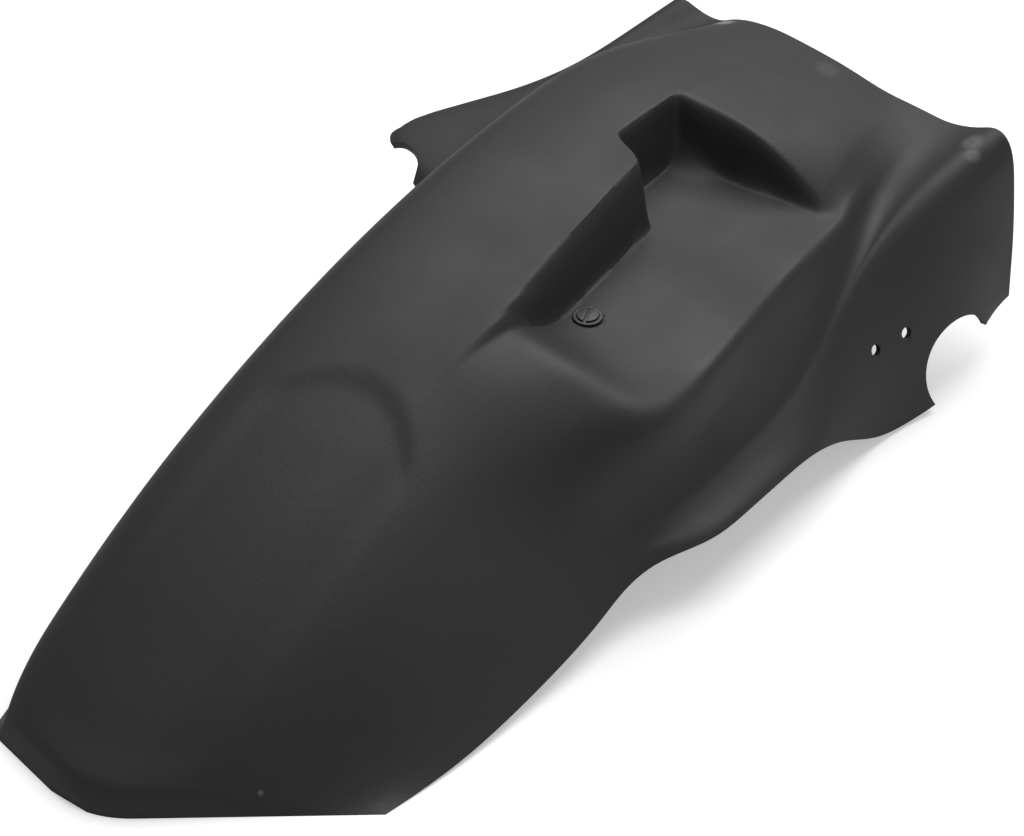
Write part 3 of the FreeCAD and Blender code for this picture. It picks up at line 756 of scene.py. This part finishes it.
    def edge(self, w: float, fine: bool, places: np.ndarray) -> np.ndarray:
        """Return points on the smooth edge at w, a cubic spline with its poles on the form.

        Args:
            w: Place across, in guides from the left edge.
            fine: True for the close knots at the pocket's walls.
            places: Places from 0 at the tail to 2 at the front.

        Returns:
            One row (x, r, z) in millimetres for each place.
        """
        marks = self.knots(fine)
        padded = [marks[0]] * 3 + marks + [marks[-1]] * 3
        poles = np.array([self.point(sum(padded[i + 1:i + 4]) / 3, w) for i in range(len(marks) + 2)])
        return basis(np.array(padded), places) @ poles

    def outer(self, across: Sequence[float], places: np.ndarray) -> np.ndarray:
        """Return the outer skin as a grid of points.

        Args:
            across: Places across, in guides from the left edge.
            places: Places along, from 0 to 2.

        Returns:
            Array (across, along, 3) of x, r and z in millimetres.
        """
        first, last = self.pocket_guides
        lines = []
        for w in across:
            share = min(max(min(w - first, last - w) / 0.5, 0.0), 1.0)
            line = np.zeros((len(places), 3))
            if share < 1:
                line += (1 - share) * self.edge(w, False, places)
            if share > 0:
                line += share * self.edge(w, True, places)
            # The flat is pressed into the finished line, so that its border stays crisp.
            line[:, 2] -= [
                self.flat_sink(x, r) * ease((z - self.tail_lip) / self.flat_edge) for x, r, z in line]
            lines.append(line)
        return np.array(lines)


def share_of(reach: np.ndarray, span: np.ndarray) -> np.ndarray:
    """Return reach over span, and zero where the span is empty."""
    return np.divide(reach, span, out=np.zeros_like(reach), where=span > 0)


def basis(padded: np.ndarray, places: np.ndarray) -> np.ndarray:
    """Return the weights of a cubic spline's poles.

    Args:
        padded: Knots with the ends four times.
        places: Places where the spline is wanted.

    Returns:
        Array (places, poles).
    """
    places = np.clip(places, padded[0], padded[-1] - 1e-9)
    table = ((places[:, None] >= padded[:-1]) & (places[:, None] < padded[1:])).astype(float)
    for degree in (1, 2, 3):
        low, high = padded[:-degree - 1], padded[degree:-1]
        left = share_of(places[:, None] - low, high - low)
        low, high = padded[1:-degree], padded[degree + 1:]
        right = share_of(high - places[:, None], high - low)
        table = left * table[:, :-1] + right * table[:, 1:]
    return table


def to_object(name: str, verts: np.ndarray, faces: Sequence[Sequence[int]]) -> Object:
    """Make a mesh object at the origin from points in metres.

    Args:
        name: Name of the object and its mesh.
        verts: Points as rows.
        faces: Corners of each face, in order seen from outside.

    Returns:
        The object, linked to the scene.
    """
    mesh = bpy.data.meshes.new(name)
    mesh.from_pydata([tuple(v) for v in verts], [], [tuple(f) for f in faces])
    mesh.update()
    made = bpy.data.objects.new(name, mesh)
    bpy.context.scene.collection.objects.link(made)
    return made


def settle(piece: Object, material: Material, sharp: float) -> None:
    """Turn an object with modifiers into a plain smooth mesh with one material.

    Args:
        piece: Object whose modifiers are made permanent.
        material: Finish of every face.
        sharp: Angle in degrees past which an edge stays crisp.
    """
    graph = bpy.context.evaluated_depsgraph_get()
    mesh = bpy.data.meshes.new_from_object(piece.evaluated_get(graph))
    piece.modifiers.clear()
    old = piece.data
    piece.data = mesh
    bpy.data.meshes.remove(old)
    mesh.name = piece.name
    mesh.materials.clear()
    mesh.materials.append(material)
    mesh.polygons.foreach_set("use_smooth", [True] * len(mesh.polygons))
    mesh.polygons.foreach_set("material_index", [0] * len(mesh.polygons))
    mesh.set_sharp_from_angle(angle=math.radians(sharp))


def carve(piece: Object, cutter: Object) -> None:
    """Cut a piece with another, as a modifier.

    Args:
        piece: Object that is cut.
        cutter: Object whose space is taken away.
    """
    cut = piece.modifiers.new("cuts", "BOOLEAN")
    cut.operation = "DIFFERENCE"
    cut.solver = "EXACT"
    cut.object = cutter


def break_edges(piece: Object, width: float, segments: int) -> None:
    """Round the sharp edges of a piece a little, as a modifier.

    Args:
        piece: Object whose edges are rounded.
        width: Width of the round in millimetres.
        segments: Number of flats in the round.
    """
    bevel = piece.modifiers.new("edges", "BEVEL")
    bevel.width = width * MM
    bevel.segments = segments
    bevel.limit_method = "ANGLE"
    bevel.angle_limit = math.radians(EDGE_ANGLE)


def drop(piece: Object) -> None:
    """Delete a helper object and its mesh."""
    mesh = piece.data
    bpy.data.objects.remove(piece)
    bpy.data.meshes.remove(mesh)


def lathe(
        mesh: BMesh, base: Vector, axis: Vector, profile: Sequence[tuple[float, float]],
        sides: int = 96, ring: bool = False) -> None:
    """Add a turned solid to a mesh.

    Args:
        mesh: Mesh that gets the solid.
        base: Point on the axis where heights start, in metres.
        axis: Unit vector along the axis.
        profile: Points (radius, height) in millimetres, from the lower end to the upper.
        sides: Number of flat sides.
        ring: True if the profile is closed and goes round a bore.
    """
    turn = axis.to_track_quat("Z", "Y")
    loops = []
    for radius, height in profile:
        loop = []
        for i in range(sides):
            angle = 2 * math.pi * i / sides
            side = Vector((radius * math.cos(angle), radius * math.sin(angle), height)) * MM
            loop.append(mesh.verts.new(base + turn @ side))
        loops.append(loop)
    made = []
    for low, high in zip(loops, loops[1:] + (loops[:1] if ring else [])):
        for i in range(sides):
            j = (i + 1) % sides
            made.append(mesh.faces.new((low[i], low[j], high[j], high[i])))
    if not ring:
        made += [mesh.faces.new(loops[0][::-1]), mesh.faces.new(loops[-1])]
    bmesh.ops.recalc_face_normals(mesh, faces=made)


def from_bmesh(name: str, mesh: BMesh) -> Object:
    """Make an object of a mesh that was edited, and free the mesh.

    Args:
        name: Name of the object.
        mesh: Mesh in metres.

    Returns:
        The object, linked to the scene.
    """
    made = to_object(name, np.zeros((0, 3)), [])
    mesh.to_mesh(made.data)
    mesh.free()
    return made


def wall_tree(material: Material) -> NodeTree:
    """Build the tree that gives a moulded sheet its wall and stops it at the floor.

    Args:
        material: Finish that the tree sets.

    Returns:
        A geometry node tree with the inputs Sheet and Wall.
    """
    tree = bpy.data.node_groups.new("moulded_wall", "GeometryNodeTree")
    tree.interface.new_socket("Sheet", in_out="INPUT", socket_type="NodeSocketGeometry")
    tree.interface.new_socket("Wall", in_out="INPUT", socket_type="NodeSocketFloat")
    tree.interface.new_socket("Shell", in_out="OUTPUT", socket_type="NodeSocketGeometry")
    given = add(tree, "NodeGroupInput")
    inward = add(tree, "ShaderNodeMath", {0: given.outputs["Wall"], 1: -1.0}, operation="MULTIPLY")
    pushed = add(tree, "GeometryNodeExtrudeMesh", {
        "Mesh": given.outputs["Sheet"], "Offset Scale": inward.outputs[0], "Individual": False})
    turned = add(tree, "GeometryNodeFlipFaces", {"Mesh": pushed.outputs["Mesh"]})
    both = add(tree, "GeometryNodeJoinGeometry", {"Geometry": given.outputs["Sheet"]})
    tree.links.new(turned.outputs["Mesh"], both.inputs["Geometry"])
    sewn = add(tree, "GeometryNodeMergeByDistance", {
        "Geometry": both.outputs["Geometry"], "Distance": SEW_DISTANCE * MM})
    place = add(tree, "GeometryNodeInputPosition")
    apart = add(tree, "ShaderNodeSeparateXYZ", {"Vector": place.outputs["Position"]})
    floor = add(tree, "ShaderNodeMath", {0: apart.outputs["Z"], 1: 0.0}, operation="MAXIMUM")
    kept = add(tree, "ShaderNodeCombineXYZ", {
        "X": apart.outputs["X"], "Y": apart.outputs["Y"], "Z": floor.outputs[0]})
    stood = add(tree, "GeometryNodeSetPosition", {
        "Geometry": sewn.outputs["Geometry"], "Position": kept.outputs["Vector"]})
    whole = add(tree, "GeometryNodeRealizeInstances", {"Geometry": stood.outputs["Geometry"]})
    dressed = add(tree, "GeometryNodeSetMaterial", {
        "Geometry": whole.outputs["Geometry"], "Material": material})
    add(tree, "NodeGroupOutput", {"Shell": dressed.outputs["Geometry"]})
    return tree


@dataclass
class ShellCuts:
    """The cuts in the shell, in the form's millimetres and in degrees."""

    tab_root_lead: float = 5.0
    tab_root_r: float = 150.0
    tab_slant: float = 52.0
    tab_cut: float = 50.0
    trim_length: float = 65.0
    trim_taper: float = 30.0
    tab_bite_back: float = 33.0
    tab_bite_radius: float = 18.5
    notch_x: float = 445.5
    notch_z: float = 14.0
    notch_radius: float = 23.0
    bolt_hole: float = 5.5
    bolt_x: float = 400.0
    bolt_r: float = 94.5
    bolt_z: float = 42.0
    bolt_pitch: float = 19.0
    bolt_sides: int = 40
    wing_yaw: float = 12.0
    wing_tilt: float = 24.0
    wing_cut: float = 40.0
    rivet_x: float = 293.5
    rivet_r: float = 14.5
    rivet_flange: float = 13.4
    rivet_barrel: float = 8.0
    rivet_clearance: float = 0.1
    seat_depth: float = 0.4
    seat_margin: float = 0.4


@dataclass
class Mudguard:
    """The one-piece shell: sheet from the form, wall from the tree, cuts and broken edges."""

    form: ShellForm
    cuts: ShellCuts
    finish: GrainedAbs
    across: tuple[int, ...] = (8, 9, 9, 10, 12, 14, 14, 12, 12, 10, 10, 8)
    along: tuple[int, ...] = (10, 62, 190)
    edge_round: float = 0.45
    crisp_angle: float = 48.0
    origin: Vector = field(default_factory=Vector)

    def place(self, x: float, r: float, z: float) -> Vector:
        """Return a point of the form in metres in the row frame."""
        return Vector((x * MM, -r * MM, z * MM)) - self.origin

    def sheet(self) -> Object:
        """Build the outer skin as a sheet of quads.

        Returns:
            The sheet, placed by the rivet and kept inside the solid's box.
        """
        across = [0.0]
        for i, count in enumerate(self.across):
            across += spread(i, i + 1, count)
        stops = (0.0, self.form.tail_rows[-1], 1.0, 2.0)
        along = [0.0]
        for count, start, end in zip(self.along, stops, stops[1:]):
            along += spread(start, end, count)
        grid = self.form.outer(across, np.array(along))
        verts = grid.reshape(-1, 3) * (MM, -MM, MM)
        # The rivet's sleeve stands on its seat, so its box tells where the form lies in the frame.
        low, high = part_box("rivet_sleeve")
        axis_x, axis_y = (low[0] + high[0]) / 2, (low[1] + high[1]) / 2
        self.origin = Vector((self.cuts.rivet_x * MM - axis_x, -self.cuts.rivet_r * MM - axis_y, 0.0))
        low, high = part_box("mudguard_shell")
        verts = np.clip(verts - np.array(self.origin), low, high)
        rows = len(along)
        faces = []
        for i in range(len(across) - 1):
            for j in range(rows - 1):
                a = i * rows + j
                faces.append((a, a + 1, a + rows + 1, a + rows)[::-1])
        return to_object("mudguard_shell_moulding", verts, faces)

    def seat(self) -> Vector:
        """Return the point on the pocket's floor under the rivet's flange."""
        seat_z = self.form.pocket_floor_z - self.cuts.seat_depth
        return self.place(self.cuts.rivet_x, self.cuts.rivet_r, seat_z)

    def cut_wing(self, mesh: BMesh) -> None:
        """Add the right wing's notch and bolt holes to the cutter's mesh."""
        cuts = self.cuts
        half = cuts.wing_cut / 2
        inside_r = cuts.bolt_r - half
        reach = self.form.lip_tip_r + half - inside_r
        notch = [(cuts.notch_radius, 0.0), (cuts.notch_radius, reach)]
        lathe(mesh, self.place(cuts.notch_x, inside_r, cuts.notch_z), Vector((0, -1, 0)), notch)
        yaw, tilt = math.radians(cuts.wing_yaw), math.radians(cuts.wing_tilt)
        level = Vector((-math.sin(yaw), -math.cos(yaw), 0))
        normal = level * math.cos(tilt) + UP * math.sin(tilt)
        step = Vector((math.cos(yaw), -math.sin(yaw), 0)) * cuts.bolt_pitch * MM
        radius = cuts.bolt_hole / 2
        for i in range(2):
            hole = self.place(cuts.bolt_x, cuts.bolt_r, cuts.bolt_z) + step * i
            lathe(mesh, hole, normal, [(radius, -half), (radius, half)], cuts.bolt_sides)

    def cut_tab(self, mesh: BMesh) -> None:
        """Add the bite behind the left wing's tab and the wedge that trims its edge."""
        cuts, form = self.cuts, self.form
        low = form.flap_z - cuts.tab_cut / 2
        root_x = form.left_foot_x + form.flap_rise + form.tab_lead + cuts.tab_root_lead
        root_r = -cuts.tab_root_r
        bite = [(cuts.tab_bite_radius, 0.0), (cuts.tab_bite_radius, cuts.tab_cut)]
        lathe(mesh, self.place(root_x - cuts.tab_bite_back, root_r, low), UP, bite)
        slant = math.radians(cuts.tab_slant)
        tip_x = root_x - cuts.tab_cut * math.cos(slant)
        tip_r = root_r - cuts.tab_cut * math.sin(slant)
        end_x, end_r = root_x + cuts.trim_length, root_r + cuts.trim_taper
        loops = []
        for z in (low, low + cuts.tab_cut):
            corners = ((root_x, root_r), (tip_x, tip_r), (end_x, tip_r), (end_x, end_r))
            loops.append([mesh.verts.new(self.place(x, r, z)) for x, r in corners])
        sides = [(loops[0][i - 1], loops[0][i], loops[1][i], loops[1][i - 1]) for i in range(4)]
        wedge = [mesh.faces.new(corners) for corners in sides + loops]
        bmesh.ops.recalc_face_normals(mesh, faces=wedge)

    def cutter(self) -> Object:
        """Build one object with every cut, the rivet's seat and hole among them.

        Returns:
            The cutter, to be deleted after use.
        """
        cuts, form = self.cuts, self.form
        mesh = bmesh.new()
        self.cut_wing(mesh)
        self.cut_tab(mesh)
        flat = cuts.rivet_flange / 2 + cuts.seat_margin
        hole = cuts.rivet_barrel / 2 + cuts.rivet_clearance
        lathe(mesh, self.seat(), UP, [
            (hole, -3 * form.wall), (hole, 0.0), (flat, 0.0), (flat, form.pocket_rim_blend)])
        return from_bmesh("shell_cuts", mesh)

    def build(self) -> Object:
        """Build, cut and dress the shell in place of its solid.

        Returns:
            The finished shell.
        """
        shell = self.sheet()
        material = self.finish.material(self.place)
        wall = shell.modifiers.new("wall", "NODES")
        wall.node_group = wall_tree(material)
        sizes = {s.name: s.identifier for s in wall.node_group.interface.items_tree if s.in_out == "INPUT"}
        wall[sizes["Wall"]] = self.form.wall * MM
        cutter = self.cutter()
        carve(shell, cutter)
        break_edges(shell, self.edge_round, 2)
        settle(shell, material, self.crisp_angle)
        drop(cutter)
        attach(shell, "root")
        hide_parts("mudguard_shell")
        LOG.info("shell: %d faces, origin %s", len(shell.data.polygons), self.origin)
        return shell


@dataclass
class Rivet:
    """The plastic rivet: a flanged sleeve and the slotted screw that spreads it, in millimetres."""

    shell: Mudguard
    finish: MouldedNylon
    rivet_flange_height: float = 1.8
    rivet_length: float = 10.0
    rivet_bore: float = 4.4
    screw_head: float = 9.6
    screw_head_height: float = 1.7
    screw_recess: float = 1.0
    screw_slot: float = 1.6
    screw_slot_depth: float = 0.9
    screw_slot_turn: float = 20.0
    sides: int = 64
    edge_round: float = 0.35
    crisp_angle: float = 40.0

    def turned(self, name: str, profile: Sequence[tuple[float, float]], ring: bool) -> Object:
        """Turn a profile about the rivet's axis.

        Args:
            name: Name of the piece.
            profile: Points (radius, height) above the seat, from the lower end to the upper.
            ring: True if the profile is closed and goes round a bore.

        Returns:
            The turned piece.
        """
        mesh = bmesh.new()
        lathe(mesh, self.shell.seat(), UP, profile, self.sides, ring)
        return from_bmesh(name, mesh)

    def finish_piece(self, piece: Object, material: Material, node: str) -> None:
        """Break the edges of a piece and put it in place of its solid.

        Args:
            piece: Turned piece.
            material: Its finish.
            node: Solid that it stands for.
        """
        break_edges(piece, self.edge_round, 3)
        settle(piece, material, self.crisp_angle)
        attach(piece, "root")
        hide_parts(node)
        LOG.info("%s: %d faces", piece.name, len(piece.data.polygons))

    def build(self) -> list[Object]:
        """Build the sleeve and the screw.

        Returns:
            Both pieces.
        """
        material = self.finish.material()
        cuts = self.shell.cuts
        recess = self.screw_head / 2 + cuts.rivet_clearance
        step = self.rivet_flange_height - self.screw_recess
        bore, barrel, flange = self.rivet_bore / 2, cuts.rivet_barrel / 2, cuts.rivet_flange / 2
        sleeve = self.turned("rivet_sleeve_turned", [
            (bore, -self.rivet_length), (barrel, -self.rivet_length), (barrel, 0), (flange, 0),
            (flange, self.rivet_flange_height), (recess, self.rivet_flange_height),
            (recess, step), (bore, step)], True)
        self.finish_piece(sleeve, material, "rivet_sleeve")
        top = step + self.screw_head_height
        shank, head = bore - cuts.rivet_clearance, self.screw_head / 2
        screw = self.turned("rivet_screw_slotted", [
            (shank, -self.rivet_length), (shank, step), (head, step), (head, top)], False)
        mesh = bmesh.new()
        bmesh.ops.create_cube(mesh, size=1.0)
        scale = Vector((self.screw_head * 2, self.screw_slot, self.screw_slot_depth * 2)) * MM
        angle = math.radians(self.screw_slot_turn)
        middle = self.shell.seat() + UP * top * MM
        for vert in mesh.verts:
            x, y, z = (a * b for a, b in zip(vert.co, scale))
            vert.co = middle + Vector((
                x * math.cos(angle) - y * math.sin(angle), x * math.sin(angle) + y * math.cos(angle), z))
        slot = from_bmesh("slot", mesh)
        carve(screw, slot)
        self.finish_piece(screw, material, "rivet_screw")
        drop(slot)
        return [sleeve, screw]


@dataclass(frozen=True)
class Softbox:
    """A square lamp: its middle and side in metres, and its power in watts."""

    name: str
    place: Point
    size: float
    power: float


@dataclass
class Studio:
    """Pale floor, soft lamps and the camera at the photograph's angle."""

    paper: StudioPaper
    shell: Mudguard
    surround: float = 0.22
    key: Softbox = Softbox("key_softbox", (0.95, 0.25, 1.75), 1.7, 34.0)
    fill: Softbox = Softbox("fill_softbox", (0.5, -1.6, 0.9), 1.2, 1.5)
    target: Point = (255.78, 2.415, 50.0)
    back: Point = (-0.60365, -0.47162, 0.64279)
    distance: float = 1.813
    width_angle: float = 14.0
    floor_size: float = 12.0

    def camera(self) -> None:
        """Put the camera where the photograph was taken."""
        data = bpy.data.cameras.new("photo_camera")
        data.sensor_fit = "HORIZONTAL"
        data.angle = math.radians(self.width_angle)
        data.clip_end = 100.0
        made = bpy.data.objects.new("photo_camera", data)
        back = Vector(self.back)
        made.location = self.shell.place(*self.target) + back * self.distance
        made.rotation_mode = "QUATERNION"
        made.rotation_quaternion = (-back).to_track_quat("-Z", "Y")
        bpy.context.scene.collection.objects.link(made)
        bpy.context.scene.camera = made

    def lamp(self, softbox: Softbox) -> None:
        """Add a square lamp that faces the object.

        Args:
            softbox: Its name, place, size and power.
        """
        data = bpy.data.lights.new(softbox.name, "AREA")
        data.size = softbox.size
        data.energy = softbox.power
        made = bpy.data.objects.new(softbox.name, data)
        made.location = softbox.place
        made.rotation_mode = "QUATERNION"
        way = self.shell.place(*self.target) - Vector(softbox.place)
        made.rotation_quaternion = way.to_track_quat("-Z", "Y")
        bpy.context.scene.collection.objects.link(made)

    def world(self) -> None:
        """Set an even surround that lights the object softly and that the camera alone sees as white."""
        world = bpy.data.worlds.new("studio")
        world.use_nodes = True
        tree = world.node_tree
        tree.nodes.clear()
        path = add(tree, "ShaderNodeLightPath")
        even = add(tree, "ShaderNodeBackground", {"Color": linear("#ffffff"), "Strength": self.surround})
        white = add(tree, "ShaderNodeBackground", {"Color": linear("#ffffff"), "Strength": 1.0})
        both = add(tree, "ShaderNodeMixShader", {
            "Fac": path.outputs["Is Camera Ray"],
            1: even.outputs["Background"], 2: white.outputs["Background"]})
        add(tree, "ShaderNodeOutputWorld", {"Surface": both.outputs["Shader"]})
        bpy.context.scene.world = world

    def floor(self) -> None:
        """Lay the pale paper floor."""
        half = self.floor_size / 2
        corners = np.array([(-half, -half, 0), (half, -half, 0), (half, half, 0), (-half, half, 0)])
        made = to_object("paper_floor", corners, [(0, 1, 2, 3)])
        made.data.materials.append(self.paper.material())

    def build(self) -> None:
        """Build the floor, lamps, surround and camera."""
        self.floor()
        self.world()
        self.lamp(self.key)
        self.lamp(self.fill)
        self.camera()
        bpy.context.scene.view_settings.view_transform = "Standard"


def main() -> None:
    """Build the part in its studio."""
    logging.basicConfig(level=logging.INFO)
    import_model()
    shell = Mudguard(ShellForm(), ShellCuts(), GrainedAbs())
    shell.build()
    Rivet(shell, MouldedNylon()).build()
    Studio(StudioPaper(), shell).build()


if __name__ == "__main__":
    main()
